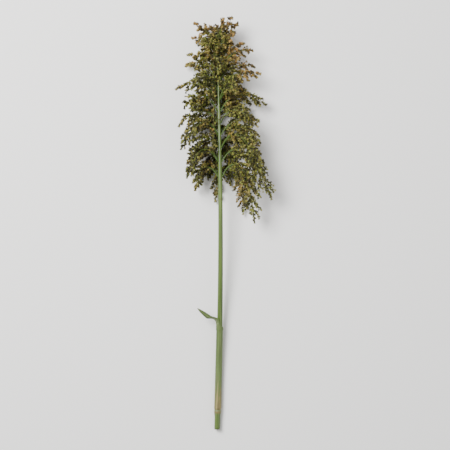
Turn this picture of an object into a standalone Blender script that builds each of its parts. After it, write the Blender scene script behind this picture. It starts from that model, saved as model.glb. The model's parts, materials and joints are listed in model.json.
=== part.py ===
"""A sorghum seed head on its cut stem, lying on a surface.

Metres, +Z up. The stem runs along Y with its cut end towards -Y and the seed head towards +Y. The origin
is on the surface, under the middle of the outline. The head is grown as it stood in the field, tier by
tier round its axis, and then laid down: its upper side sags a little and its underside is pressed up by
the surface.
"""

import math
import random

import bpy
import numpy as np

# The stem: the culm from its cut end to the lowest tier of branches, then the rachis with the tiers
CULM_LENGTH = 0.440
RACHIS_LENGTH = 0.234
AXIS_LENGTH = CULM_LENGTH + RACHIS_LENGTH
CUT_RADIUS = 0.0052
NECK_RADIUS = 0.0036
RACHIS_TIP_RADIUS = 0.0009
CULM_TAPER = 1.4
RACHIS_TAPER = 0.8
STEM_SIDES = 12
STEM_RING_STEP = 0.030
FIRST_STEM_RING = 0.06
LAST_STEM_RING = AXIS_LENGTH - 0.01
SIDE_BEND = 0.006
HEAD_HEIGHT = 0.040
RISE_START = 0.065
RISE_LENGTH = 0.365
TIP_DROP = 0.013

# The joint low on the culm, and the leaf whose sheath wraps the culm above it
JOINT_AT = 0.030
JOINT_HALF_LENGTH = 0.005
JOINT_RADIUS = 0.0063
JOINT_RINGS = (-1.6, -0.8, 0, 0.8)
SHEATH_START = 0.037
SHEATH_END = 0.172
SHEATH_GAP = 0.0005
LEAF_THICKNESS = 0.0007
SHEATH_WRAP = math.radians(328)
LEAF_BACK = math.radians(140)
COLLAR_LENGTH = 0.012
BLADE_LENGTH = 0.046
BLADE_WIDTH = 0.0095
BLADE_LEAN = math.radians(52)
BLADE_LEAN_RATE = 2.2
BLADE_RISE = 0.35
BLADE_FOLD = 0.22
BLADE_POINTING = 3.2
BLADE_TWIST = math.radians(42)
BLADE_TIP_HALF = 0.0006
COLLAR_NARROWING = 0.55
COLLAR_EASE = 1.5
LEAF_COLUMNS = 14
SHEATH_ROWS = 7
COLLAR_ROWS = 3
BLADE_ROWS = 7

# The tiers of branches, from the lowest to the tip
TIER_COUNTS = (5, 5, 5, 5, 4, 4, 4, 4, 4, 3, 3, 3, 3, 2)
FIRST_INTERNODE = 0.0252
INTERNODE_SHRINK = 0.94
TIER_DRIFT = math.radians(11)
AZIMUTH_WANDER = 0.28
OPEN_STAGGER = 0.25
OPEN_TIERS = 6
OPEN_FRONT = math.radians(84)
OPEN_CLOSING = 0.45
HEAD_SEED = 41
TIER_SEEDS = 100
DRAW_SEEDS = 10000
STRING_SEEDS = 5000
TIP_SEED = 9000

# One branch: how it leaves the axis, arches over and hangs, and how that changes from tier to tier
TIP_SPRAY_LENGTH = 0.027
TOP_BRANCH_LENGTH = 0.044
LOW_BRANCH_LENGTH = 0.124
SHORTENING_POWER = 1.2
BRANCH_LEAVE = math.radians(26)
LEAVE_CHANGE = math.radians(-4)
BRANCH_HANG = math.radians(175)
HANG_CHANGE = math.radians(-122)
HANG_POWER = 1.1
LOW_TURN_DONE = 0.60
BRANCH_ROOT_RADIUS = 0.0011
BRANCH_TIP_RADIUS = 0.0007
BRANCH_POINTS = 25
UNDERSIDE_SHORTER = 0.30
LEFT_SHORTER = 0.45
LEFT_ARCH = 0.20
LENGTH_WANDER = (0.84, 1.14)
LEAVE_WANDER = math.radians(4)
HANG_WANDER = (math.radians(-14), math.radians(8))
TURN_WANDER = 0.1
TWIST_WANDER = 0.22
TIP_LEAN_SIDE = 0.25
TIP_LEAN_UP = 0.12

# Branchlets along a branch, each a string of spikelets
BRANCHLET_STEP = 0.0056
FIRST_BRANCHLET = 0.10
BRANCHLET_SHARE = 0.37
BRANCHLET_TAPER = 0.66
LEAST_BRANCHLET = 0.0095
BRANCHLET_SPREAD = math.radians(48)
BRANCHLET_DROOP = 0.85
BRANCHLET_POINTS = 9
FEWEST_BRANCHLETS = 4
LAST_SPREAD_SHARE = 0.25
FOLLOW_BRANCH = 0.35
AROUND_WANDER = 0.4
SPREAD_WANDER = (0.75, 1.2)
DROOP_WANDER = (0.5, 1.4)
REACH_WANDER = (0.78, 1.15)
GOLDEN_ANGLE = math.radians(137.5)
SQUARED_WITH = (0.31, 0.17, 0.93)

# How the grown head lies
TOP_SAG = 0.28
SAG_FROM = 0.020
FLOOR_ROOM = 0.0026

# The solids keep some of the branchlets, each with its spikelets drawn together into beads
BEAD_LENGTH = 0.0074
BEAD_RADIUS = 0.0036
BEAD_OFFSET = 0.0008
BEAD_WIDEST = 0.48
STALK_SHARE = 0.22
SHORT_STALK_SHARE = 0.1
STALK_RADIUS = 0.0005
SOLID_BRANCHLET_STEP = 0.0125
SOLID_BRANCH_POINTS = 8
SOLID_SIDES = 3
CLEARANCE = 0.0004
BRANCH_CLEARANCE = 0.0022
BRANCH_DRAWS = 14
SAMPLE_STEP = 0.0006
ROOT_SAMPLES = 6
ROOT_GAP = 0.0015

STEM_GREEN = (0.205, 0.235, 0.082, 1)
STEM_ROUGHNESS = 0.5
HUSK_OLIVE = (0.105, 0.082, 0.034, 1)
LEAF_GREEN = (0.170, 0.245, 0.075, 1)
DRY_ROUGHNESS = 0.55


def smooth(t):
    """A step from 0 to 1 with level ends."""
    t = min(1.0, max(0.0, t))
    return t * t * (3 - 2 * t)


def stem_radius(d):
    """The stem's radius at a distance from its cut end."""
    if d < CULM_LENGTH:
        taper = (d / CULM_LENGTH) ** CULM_TAPER
        radius = CUT_RADIUS + (NECK_RADIUS - CUT_RADIUS) * taper
    else:
        taper = min(1.0, (d - CULM_LENGTH) / RACHIS_LENGTH) ** RACHIS_TAPER
        radius = NECK_RADIUS + (RACHIS_TIP_RADIUS - NECK_RADIUS) * taper
    swell = math.exp(-(((d - JOINT_AT) / JOINT_HALF_LENGTH) ** 2))
    return radius + (JOINT_RADIUS - CUT_RADIUS) * swell


def axis_side(d):
    """How far the stem's axis lies to the side of a straight line, at a distance from the cut end."""
    return SIDE_BEND * math.sin(math.pi * min(d, AXIS_LENGTH) / AXIS_LENGTH)


def axis_height(d):
    """The height of the stem's axis: level where the sheath lies on the surface, then up to the head."""
    rest = CUT_RADIUS + SHEATH_GAP + LEAF_THICKNESS
    rise = (HEAD_HEIGHT - rest) * smooth((d - RISE_START) / RISE_LENGTH)
    return rest + rise - TIP_DROP * smooth((d - CULM_LENGTH) / RACHIS_LENGTH)


def axis_point(d):
    return np.array((axis_side(d), d, axis_height(d)))


def lay_down(points):
    """Moves points of the upright head, given from its axis, to where they are once it lies down."""
    laid = []
    for side, d, up in points:
        height = axis_height(d)
        room = height - FLOOR_ROOM
        sagged = up * (1 - TOP_SAG * (1 - math.exp(-up / SAG_FROM))) if up > 0 else 0.0
        z = height + (sagged if up > 0 else -room * math.tanh(-up / room))
        laid.append((axis_side(d) + side, d, z))
    return np.array(laid)


def tier_distances():
    """Each tier's distance along the rachis from the lowest one."""
    found = [0.0]
    internode = FIRST_INTERNODE
    for _ in TIER_COUNTS[1:]:
        found.append(found[-1] + internode)
        internode *= INTERNODE_SHRINK
    return found


def branch_azimuth(tier, index, draw):
    """The side of the axis that a branch leaves from. The lowest tiers leave the upper side open."""
    count = TIER_COUNTS[tier]
    wander = draw.uniform(-AZIMUTH_WANDER, AZIMUTH_WANDER)
    if tier < OPEN_TIERS:
        opening = OPEN_FRONT * (1 - OPEN_CLOSING * tier / OPEN_TIERS)
        turned = (index + 0.5 + OPEN_STAGGER * (-1) ** tier) / (count + OPEN_STAGGER)
        return math.pi / 2 + opening / 2 + (2 * math.pi - opening) * turned + wander
    return tier * TIER_DRIFT + 2 * math.pi * (index + 0.5 * (tier % 2)) / count + wander


def branch_length(share):
    """The usual length of a branch that leaves the rachis at this share of its length."""
    return TOP_BRANCH_LENGTH + (LOW_BRANCH_LENGTH - TOP_BRANCH_LENGTH) * (1 - share) ** SHORTENING_POWER


def branch_path(tier, index, attempt):
    """The line of one branch in the upright head, as points (side, distance from the cut end, up)."""
    draw = random.Random(HEAD_SEED + TIER_SEEDS * tier + index + DRAW_SEEDS * attempt)
    along = tier_distances()[tier]
    share = along / RACHIS_LENGTH
    azimuth = branch_azimuth(tier, index, draw)
    length = branch_length(share) * draw.uniform(*LENGTH_WANDER)
    length *= 1 - UNDERSIDE_SHORTER * max(0.0, -math.sin(azimuth))
    left = max(0.0, -math.cos(azimuth)) * (1 - share) ** 2
    length *= 1 - LEFT_SHORTER * left
    leave = BRANCH_LEAVE + LEAVE_CHANGE * share + draw.uniform(-LEAVE_WANDER, LEAVE_WANDER)
    hang = BRANCH_HANG + HANG_CHANGE * share**HANG_POWER + draw.uniform(*HANG_WANDER)
    turned = LOW_TURN_DONE + (1 - LOW_TURN_DONE) * share + draw.uniform(-TURN_WANDER, TURN_WANDER)
    turned += LEFT_ARCH * left
    twist = draw.uniform(-TWIST_WANDER, TWIST_WANDER)
    start = CULM_LENGTH + along
    out, forward = stem_radius(start) + ROOT_GAP, start
    step = length / (BRANCH_POINTS - 1)
    points = []
    for i in range(BRANCH_POINTS):
        u = i / (BRANCH_POINTS - 1)
        side = azimuth + twist * u * u
        points.append((out * math.cos(side), forward, out * math.sin(side)))
        angle = leave + (hang - leave) * smooth((u + 0.5 / BRANCH_POINTS) / turned)
        out += step * math.sin(angle)
        forward += step * math.cos(angle)
    return np.array(points)


def tip_path():
    """The line of the spray that ends the rachis."""
    start = AXIS_LENGTH + ROOT_GAP / 3
    forward = np.linspace(start, start + TIP_SPRAY_LENGTH, BRANCH_POINTS)
    lean = (forward - start) ** 2 / TIP_SPRAY_LENGTH
    return np.stack((TIP_LEAN_SIDE * lean, forward, TIP_LEAN_UP * lean), axis=1)


def point_at(path, share):
    """The point and the direction at a share of a path's length, on its straight stretches."""
    place = share * (len(path) - 1)
    i = min(int(place), len(path) - 2)
    direction = path[i + 1] - path[i]
    return path[i] + (place - i) * direction, direction / np.linalg.norm(direction)


def across(direction):
    """Two directions square to this one and to each other."""
    first = np.cross(direction, SQUARED_WITH)
    first /= np.linalg.norm(first)
    return first, np.cross(direction, first)


def branchlets(path, seed):
    """Every branchlet of an upright branch: (the share of the branch where it starts, its points)."""
    draw = random.Random(seed)
    length = np.linalg.norm(np.diff(path, axis=0), axis=1).sum()
    count = max(FEWEST_BRANCHLETS, round(length / BRANCHLET_STEP))
    found = []
    for j in range(count):
        share = min(1.0, FIRST_BRANCHLET + (1 - FIRST_BRANCHLET) * (j + 1) / count)
        root, direction = point_at(path, share)
        first, second = across(direction)
        turn = j * GOLDEN_ANGLE + draw.uniform(-AROUND_WANDER, AROUND_WANDER)
        spread = BRANCHLET_SPREAD * draw.uniform(*SPREAD_WANDER)
        if j == count - 1:
            spread *= LAST_SPREAD_SHARE
        outward = math.cos(turn) * first + math.sin(turn) * second
        leaves = math.cos(spread) * direction + math.sin(spread) * outward
        droop = BRANCHLET_DROOP * draw.uniform(*DROOP_WANDER)
        ends = leaves + FOLLOW_BRANCH * direction - np.array((0, droop, 0))
        ends /= np.linalg.norm(ends)
        reach = max(LEAST_BRANCHLET, BRANCHLET_SHARE * length * (1 - BRANCHLET_TAPER * share))
        reach *= draw.uniform(*REACH_WANDER)
        u = np.linspace(0, 1, BRANCHLET_POINTS)[:, None]
        found.append((share, root + reach * (u * leaves + u * u / 2 * (ends - leaves))))
    return found


def grow_head(taken):
    """Every branch of the head: its name, its line and its branchlets, upright. Each line is the first of
    a few draws that keeps well away from the lines before it, or else the one that keeps away the most."""
    grown = []
    for tier, count in enumerate(TIER_COUNTS):
        for index in range(count):
            draws = []
            for attempt in range(BRANCH_DRAWS):
                path = branch_path(tier, index, attempt)
                places, sizes = spheres_along(*branch_rings(path))
                away = taken.least_gap(places[ROOT_SAMPLES:], sizes[ROOT_SAMPLES:], len(grown))
                draws.append((away, path, places, sizes))
                if away > BRANCH_CLEARANCE:
                    break
            away, path, places, sizes = max(draws, key=lambda found: found[0])
            name = f"spray_{tier + 1:02d}_{index + 1}"
            taken.add(places, sizes, len(grown))
            seed = HEAD_SEED + STRING_SEEDS + TIER_SEEDS * tier + index
            grown.append((name, path, branchlets(path, seed)))
    path = tip_path()
    taken.add(*spheres_along(*branch_rings(path)), len(grown))
    grown.append(("spray_tip", path, branchlets(path, HEAD_SEED + TIP_SEED)))
    return grown


def plant_material(name, colour, roughness):
    material = bpy.data.materials.new(name)
    material.use_nodes = True
    surface = material.node_tree.nodes["Principled BSDF"]
    surface.inputs["Base Color"].default_value = colour
    surface.inputs["Roughness"].default_value = roughness
    surface.inputs["Metallic"].default_value = 0.0
    return material


def add_object(name, points, faces, material):
    mesh = bpy.data.meshes.new(name)
    mesh.from_pydata([tuple(p) for p in points], [], faces)
    mesh.materials.append(material)
    found = bpy.data.objects.new(name, mesh)
    bpy.context.scene.collection.objects.link(found)
    return found


def tube(centres, radii, sides, turn=0.0, pointed=False):
    """A closed tube through ring centres. A pointed one ends at its last centre instead of a flat cap."""
    points, faces = [], []
    direction = centres[1] - centres[0]
    first, _ = across(direction / np.linalg.norm(direction))
    rings = len(centres) - pointed
    for i in range(rings):
        ahead = centres[min(i + 1, len(centres) - 1)] - centres[max(i - 1, 0)]
        ahead = ahead / np.linalg.norm(ahead)
        first = first - ahead * np.dot(first, ahead)
        first /= np.linalg.norm(first)
        second = np.cross(ahead, first)
        for k in range(sides):
            angle = turn + 2 * math.pi * k / sides
            points.append(centres[i] + radii[i] * (math.cos(angle) * first + math.sin(angle) * second))
    for i in range(rings - 1):
        for k in range(sides):
            a, b = i * sides + k, i * sides + (k + 1) % sides
            faces.append((a, b, b + sides, a + sides))
    faces.append(tuple(reversed(range(sides))))
    last = (rings - 1) * sides
    if pointed:
        points.append(centres[-1])
        faces += [(last + k, last + (k + 1) % sides, len(points) - 1) for k in range(sides)]
    else:
        faces.append(tuple(last + k for k in range(sides)))
    return points, faces


def string_of_beads(path, turn):
    """Ring centres and radii of a branchlet: a bare stalk, then beads to either side in turn."""
    length = np.linalg.norm(np.diff(path, axis=0), axis=1).sum()
    stalk = STALK_SHARE if length > 2 * BEAD_LENGTH else SHORT_STALK_SHARE
    count = max(1, round(length * (1 - stalk) / BEAD_LENGTH))
    centres, radii = [path[0]], [STALK_RADIUS]
    for bead in range(count):
        for within, radius in ((0.0, STALK_RADIUS), (BEAD_WIDEST, BEAD_RADIUS)):
            share = stalk + (1 - stalk) * (bead + within) / count
            centre, direction = point_at(path, share)
            first, second = across(direction)
            if radius == BEAD_RADIUS:
                side = (-1) ** bead * BEAD_OFFSET
                centre = centre + side * (math.cos(turn) * first + math.sin(turn) * second)
            centres.append(centre)
            radii.append(radius)
    centres.append(path[-1])
    radii.append(0.0)
    return np.array(centres), np.array(radii)


def spheres_along(centres, radii):
    """Centres and radii of spheres that cover a tube with these rings."""
    lengths = np.linalg.norm(np.diff(centres, axis=0), axis=1)
    at = np.concatenate(([0.0], np.cumsum(lengths)))
    steps = np.linspace(0, at[-1], max(2, int(at[-1] / SAMPLE_STEP) + 1))
    places = np.stack([np.interp(steps, at, centres[:, k]) for k in range(3)], axis=1)
    return places, np.interp(steps, at, radii)


class Taken:
    """The space that the pieces placed so far fill, as spheres with their owners."""

    def __init__(self):
        self.places, self.radii, self.owners = np.empty((0, 3)), np.empty(0), np.empty(0, int)

    def add(self, places, radii, owner):
        self.places = np.concatenate((self.places, places))
        self.radii = np.concatenate((self.radii, radii))
        self.owners = np.concatenate((self.owners, np.full(len(radii), owner)))

    def least_gap(self, places, radii, owner):
        """The least gap between a piece and those of other owners, where it is about a branch's clearance."""
        reach = radii.max() + self.radii.max() + BRANCH_CLEARANCE
        near = self.owners != owner
        near &= (self.places > places.min(axis=0) - reach).all(axis=1)
        near &= (self.places < places.max(axis=0) + reach).all(axis=1)
        if not near.any():
            return 2 * BRANCH_CLEARANCE
        apart = np.linalg.norm(places[:, None] - self.places[near][None], axis=2)
        return float((apart - radii[:, None] - self.radii[near][None]).min())


def chosen_order(count):
    """An order of the branchlets that starts at a branch's tip and spreads the first few along it."""
    return sorted(range(count), key=lambda j: ((count - 1 - j) * GOLDEN_ANGLE / (2 * math.pi)) % 1)


def solid_branchlets(grown, taken):
    """The branchlets that each solid keeps: ones that clear every other piece, spread along the branch."""
    kept = {name: [] for name, _, _ in grown}
    orders = {name: chosen_order(len(strings)) for name, _, strings in grown}
    longest = max(len(order) for order in orders.values())
    for place in range(longest):
        for owner, (name, path, strings) in enumerate(grown):
            length = np.linalg.norm(np.diff(path, axis=0), axis=1).sum()
            wanted = 1 + round(length / SOLID_BRANCHLET_STEP)
            if place >= len(orders[name]) or len(kept[name]) >= wanted:
                continue
            share, points = strings[orders[name][place]]
            laid = lay_down(points)
            laid += point_at(branch_rings(path)[0], share)[0] - laid[0]
            turn = orders[name][place] * GOLDEN_ANGLE
            centres, radii = string_of_beads(laid, turn)
            places, sizes = spheres_along(centres, radii)
            if taken.least_gap(places, sizes, owner) > CLEARANCE:
                taken.add(places, sizes, owner)
                kept[name].append((centres, radii, turn))
    return kept


def branch_rings(path):
    """Ring centres and radii of the solid of a branch, laid down."""
    centres = lay_down(path[np.linspace(0, BRANCH_POINTS - 1, SOLID_BRANCH_POINTS).round().astype(int)])
    return centres, np.linspace(BRANCH_ROOT_RADIUS, BRANCH_TIP_RADIUS, SOLID_BRANCH_POINTS)


def make_sprays(material):
    """One solid for each branch, with its branchlets joined to it."""
    taken = Taken()
    stem_steps = np.arange(0, AXIS_LENGTH, SAMPLE_STEP)
    taken.add(
        np.array([axis_point(d) for d in stem_steps]),
        np.array([stem_radius(d) for d in stem_steps]),
        -1,
    )
    grown = grow_head(taken)
    kept = solid_branchlets(grown, taken)
    sprays = []
    for name, path, _ in grown:
        spray = add_object(name, *tube(*branch_rings(path), SOLID_SIDES), material)
        strings = bpy.data.collections.new(name + "_strings")
        bpy.context.scene.collection.children.link(strings)
        for k, (ring_centres, ring_radii, turn) in enumerate(kept[name]):
            beads = tube(ring_centres, ring_radii, SOLID_SIDES, turn, pointed=True)
            string = add_object(f"{name}_string_{k}", *beads, material)
            bpy.context.scene.collection.objects.unlink(string)
            strings.objects.link(string)
        join_collection(spray, strings)
        sprays.append(spray)
    return sprays


def join_collection(target, pieces):
    """Joins a collection's meshes to the target in one union and removes them."""
    union = target.modifiers.new("join", "BOOLEAN")
    union.operation = "UNION"
    union.solver = "MANIFOLD"
    union.operand_type = "COLLECTION"
    union.collection = pieces
    graph = bpy.context.evaluated_depsgraph_get()
    joined = bpy.data.meshes.new_from_object(target.evaluated_get(graph))
    target.modifiers.clear()
    target.data = joined
    for piece in list(pieces.objects):
        bpy.data.objects.remove(piece)
    bpy.data.collections.remove(pieces)


def make_stem(material):
    """The culm with its joint, and the rachis, as one tapering solid."""
    marks = [0.0, SHEATH_START, *np.arange(FIRST_STEM_RING, LAST_STEM_RING, STEM_RING_STEP), AXIS_LENGTH]
    marks += [JOINT_AT + k * JOINT_HALF_LENGTH for k in JOINT_RINGS]
    marks = sorted(marks)
    centres = np.array([axis_point(d) for d in marks])
    radii = np.array([stem_radius(d) for d in marks])
    points, faces = [], []
    for centre, radius in zip(centres, radii, strict=True):
        for k in range(STEM_SIDES):
            angle = 2 * math.pi * (k + 0.5) / STEM_SIDES
            points.append(centre + radius * np.array((math.cos(angle), 0, math.sin(angle))))
    for i in range(len(marks) - 1):
        for k in range(STEM_SIDES):
            a, b = i * STEM_SIDES + k, i * STEM_SIDES + (k + 1) % STEM_SIDES
            faces.append((a, a + STEM_SIDES, b + STEM_SIDES, b))
    last = (len(marks) - 1) * STEM_SIDES
    faces.append(tuple(range(STEM_SIDES)))
    faces.append(tuple(reversed(range(last, last + STEM_SIDES))))
    return add_object("culm", points, faces, material)


def sheath_row(d, wrap):
    """One row of points across the sheath, wrapped round the culm by the angle wrap."""
    row = []
    radius = stem_radius(min(d, SHEATH_END)) + SHEATH_GAP + LEAF_THICKNESS / 2
    for k in range(LEAF_COLUMNS + 1):
        angle = LEAF_BACK + wrap * (k / LEAF_COLUMNS - 0.5)
        row.append(axis_point(d) + radius * np.array((math.cos(angle), 0, math.sin(angle))))
    return row


def turned_about(axis, angle, direction):
    """A direction turned about a unit axis by an angle."""
    swung = math.cos(angle) * direction + math.sin(angle) * np.cross(axis, direction)
    return swung + (1 - math.cos(angle)) * np.dot(axis, direction) * axis


def blade_row(v):
    """One row across the blade, at a share v of its length from the collar to its tip."""
    back = np.array((math.cos(LEAF_BACK), 0, math.sin(LEAF_BACK)))
    start = SHEATH_END + COLLAR_LENGTH
    forward = axis_point(start + COLLAR_LENGTH) - axis_point(start)
    forward /= np.linalg.norm(forward)
    base = axis_point(start) + back * (stem_radius(start) + SHEATH_GAP + LEAF_THICKNESS / 2)
    out = np.array((back[0], 0, BLADE_RISE * back[2]))
    out /= np.linalg.norm(out)
    lean = BLADE_LEAN * smooth(v * BLADE_LEAN_RATE)
    along = math.cos(lean) * forward + math.sin(lean) * out
    along /= np.linalg.norm(along)
    spine = base + BLADE_LENGTH * v * along
    twist = BLADE_TWIST * smooth(2 * v)
    side = turned_about(along, twist, np.cross(np.array((0, 1, 0)), back))
    back = turned_about(along, twist, back)
    half = BLADE_WIDTH / 2 * (1 - v**BLADE_POINTING) + BLADE_TIP_HALF * v
    row = []
    for k in range(LEAF_COLUMNS + 1):
        t = 2 * k / LEAF_COLUMNS - 1
        fold = BLADE_FOLD * half * t * t
        row.append(spine - side * half * t - back * fold)
    return row


def off_stem(point):
    """A point of the leaf, moved out from the stem's axis where it would be inside the sheath's round."""
    centre = axis_point(point[1])
    away = point - centre
    least = stem_radius(SHEATH_END) + 2 * SHEATH_GAP + LEAF_THICKNESS / 2
    return centre + away * max(1.0, least / np.linalg.norm(away))


def make_leaf(material):
    """The leaf: a sheath wrapped round the culm and open along one side, with a short trimmed blade."""
    rows = []
    for i in range(SHEATH_ROWS + 1):
        d = SHEATH_START + (SHEATH_END - SHEATH_START) * i / SHEATH_ROWS
        rows.append(sheath_row(d, SHEATH_WRAP))
    first_blade_row = blade_row(0.0)
    for i in range(1, COLLAR_ROWS):
        t = i / COLLAR_ROWS
        wrap = SHEATH_WRAP * (1 - COLLAR_NARROWING * smooth(t))
        share = smooth(t) ** COLLAR_EASE
        pairs = zip(sheath_row(SHEATH_END + COLLAR_LENGTH * t, wrap), first_blade_row, strict=True)
        rows.append([off_stem(wrapped + (opened - wrapped) * share) for wrapped, opened in pairs])
    rows += [blade_row(v) for v in np.linspace(0, 1, BLADE_ROWS)]
    columns = LEAF_COLUMNS + 1
    points = [p for row in rows for p in row]
    faces = []
    for i in range(len(rows) - 1):
        for k in range(LEAF_COLUMNS):
            a = i * columns + k
            faces.append((a, a + 1, a + 1 + columns, a + columns))
    leaf = add_object("leaf", points, faces, material)
    wall = leaf.modifiers.new("thickness", "SOLIDIFY")
    wall.thickness = LEAF_THICKNESS
    wall.offset = 0.0
    wall.use_even_offset = False
    return leaf


def centre_on_origin(objects):
    """Moves every mesh so that the origin is on the surface, under the middle of the outline, and presses
    flat what would reach into the surface."""
    graph = bpy.context.evaluated_depsgraph_get()
    corners = []
    for found in objects:
        corners += [found.evaluated_get(graph).bound_box[k] for k in (0, 6)]
    middle = (np.min(corners, axis=0) + np.max(corners, axis=0)) / 2
    for found in objects:
        for vertex in found.data.vertices:
            vertex.co.x -= middle[0]
            vertex.co.y -= middle[1]
            vertex.co.z = max(vertex.co.z, 0.0)


def main():
    for found in list(bpy.data.objects):
        bpy.data.objects.remove(found)
    stem_green = plant_material("stem_green", STEM_GREEN, STEM_ROUGHNESS)
    husk_olive = plant_material("husk_olive", HUSK_OLIVE, DRY_ROUGHNESS)
    leaf_green = plant_material("leaf_green", LEAF_GREEN, DRY_ROUGHNESS)
    stem = make_stem(stem_green)
    leaf = make_leaf(leaf_green)
    sprays = make_sprays(husk_olive)
    centre_on_origin([stem, leaf, *sprays])


main()
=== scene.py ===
import json
import math
import random

import bpy
import numpy as np
from mathutils import Matrix, Vector

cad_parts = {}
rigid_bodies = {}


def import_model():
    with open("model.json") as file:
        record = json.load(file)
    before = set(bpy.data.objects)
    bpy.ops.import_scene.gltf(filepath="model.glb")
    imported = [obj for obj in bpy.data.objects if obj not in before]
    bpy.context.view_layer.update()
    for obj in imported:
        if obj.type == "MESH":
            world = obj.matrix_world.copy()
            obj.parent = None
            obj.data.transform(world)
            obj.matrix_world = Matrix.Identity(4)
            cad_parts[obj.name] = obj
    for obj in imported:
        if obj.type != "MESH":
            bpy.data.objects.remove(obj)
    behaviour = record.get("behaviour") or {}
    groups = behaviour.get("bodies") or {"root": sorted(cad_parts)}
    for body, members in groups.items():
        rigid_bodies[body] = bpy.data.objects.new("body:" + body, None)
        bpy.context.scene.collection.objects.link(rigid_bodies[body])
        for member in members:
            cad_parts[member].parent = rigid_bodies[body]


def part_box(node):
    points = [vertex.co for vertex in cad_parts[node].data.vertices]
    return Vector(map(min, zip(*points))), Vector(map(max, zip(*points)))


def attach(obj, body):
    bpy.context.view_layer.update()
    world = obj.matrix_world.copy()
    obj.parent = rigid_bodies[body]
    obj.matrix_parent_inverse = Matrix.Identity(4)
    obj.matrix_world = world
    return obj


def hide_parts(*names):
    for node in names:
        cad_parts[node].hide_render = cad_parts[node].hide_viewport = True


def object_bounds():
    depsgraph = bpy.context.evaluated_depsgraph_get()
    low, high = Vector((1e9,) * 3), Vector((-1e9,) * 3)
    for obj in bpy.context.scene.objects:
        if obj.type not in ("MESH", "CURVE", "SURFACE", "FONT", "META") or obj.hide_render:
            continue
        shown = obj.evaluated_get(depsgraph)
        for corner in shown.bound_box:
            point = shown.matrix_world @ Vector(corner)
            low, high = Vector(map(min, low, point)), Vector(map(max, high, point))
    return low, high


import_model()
cadLow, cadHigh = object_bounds()


def linear(code):
    # sRGB hex to linear colour
    parts = [int(code[i:i + 2], 16) / 255 for i in (1, 3, 5)]
    return (*[v / 12.92 if v <= 0.04045 else ((v + 0.055) / 1.055) ** 2.4 for v in parts], 1.0)


def addNode(tree, kind, inputs=None, stops=None, **fields):
    # inputs: socket -> a value, or the node or output that feeds it; stops: a ramp's places and colours
    node = tree.nodes.new(kind)
    for field, value in fields.items():
        setattr(node, field, value)
    for socket, value in (inputs or {}).items():
        if isinstance(value, bpy.types.Node):
            value = value.outputs[0]
        if isinstance(value, bpy.types.NodeSocket):
            tree.links.new(value, node.inputs[socket])
        else:
            node.inputs[socket].default_value = value
    for number, (at, code) in enumerate(stops or ()):
        band = node.color_ramp.elements
        element = band[number] if number < len(band) else band.new(at)
        element.position = at
        element.color = linear(code)
    return node


def newMaterial(name, roughness=0.5):
    material = bpy.data.materials.new(name)
    material.use_nodes = True
    tree = material.node_tree
    surface = tree.nodes["Principled BSDF"]
    surface.inputs["Roughness"].default_value = roughness
    return material, tree, surface


def newObject(name, points, faces, materials, slots=None, values=None):
    mesh = bpy.data.meshes.new(name)
    mesh.from_pydata([tuple(p) for p in points], [], faces)
    for material in materials:
        mesh.materials.append(material)
    if slots is not None:
        mesh.polygons.foreach_set("material_index", slots)
    for label, numbers in (values or {}).items():
        mesh.attributes.new(label, "FLOAT", "POINT").data.foreach_set("value", numbers)
    mesh.update()
    found = bpy.data.objects.new(name, mesh)
    bpy.context.scene.collection.objects.link(found)
    return found


def smooth(t):
    t = min(1.0, max(0.0, t))
    return t * t * (3 - 2 * t)


def onCircle(radius, angle):
    return radius * np.array((math.cos(angle), 0, math.sin(angle)))


# The stem's line: level in its sheath, then rising to the head that it carries
stem = {
    "culm": 0.440, "rachis": 0.234, "cut": 0.0052, "neck": 0.0036, "tip": 0.0009,
    "culmTaper": 1.4, "rachisTaper": 0.8, "bend": 0.006, "height": 0.040, "drop": 0.013,
    "riseFrom": 0.065, "riseLength": 0.365,
    "wall": 0.0005 + 0.0007,  # the gap and the sheath that lie under the culm
    "jointAt": 0.030, "jointHalf": 0.005, "jointRadius": 0.0063,
    "solidTurn": math.radians(15),  # the first corner of the solid's 12 sides
    "sides": 40, "ringStep": 0.004, "jointRings": 31, "jointReach": 0.012,
    "pithDepth": 0.0005, "pithHollow": 0.0007, "rimRadius": 0.985, "endCap": 0.0006,
    "pithRings": ((0.00154, 0.0), (0.00084, 0.4)),  # how far inside the rind, and how green
    "rimInset": 0.00035,
    "waxAt": 0.012, "waxHalf": 0.012, "bandHalf": 0.0022,
}
stemEnd = stem["culm"] + stem["rachis"]


def stemRadius(d):
    if d < stem["culm"]:
        radius = stem["cut"] + (stem["neck"] - stem["cut"]) * (d / stem["culm"]) ** stem["culmTaper"]
    else:
        taper = min(1.0, (d - stem["culm"]) / stem["rachis"]) ** stem["rachisTaper"]
        radius = stem["neck"] + (stem["tip"] - stem["neck"]) * taper
    swell = math.exp(-(((d - stem["jointAt"]) / stem["jointHalf"]) ** 2))
    return radius + (stem["jointRadius"] - stem["cut"]) * swell


def stemSide(d):
    return stem["bend"] * math.sin(math.pi * min(d, stemEnd) / stemEnd)


def stemHeight(d):
    rest = stem["cut"] + stem["wall"]
    rise = (stem["height"] - rest) * smooth((d - stem["riseFrom"]) / stem["riseLength"])
    return rest + rise - stem["drop"] * smooth((d - stem["culm"]) / stem["rachis"])


def stemPoint(d):
    return np.array((stemSide(d), d, stemHeight(d)))


# d counts from the cut end, so the shift to the frame comes from the place of the culm's solid
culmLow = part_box("culm")[0]
jointSide = stemSide(stem["jointAt"]) - stem["jointRadius"] * math.cos(stem["solidTurn"])
shift = np.array((culmLow[0] - jointSide, culmLow[1], 0.0))

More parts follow.
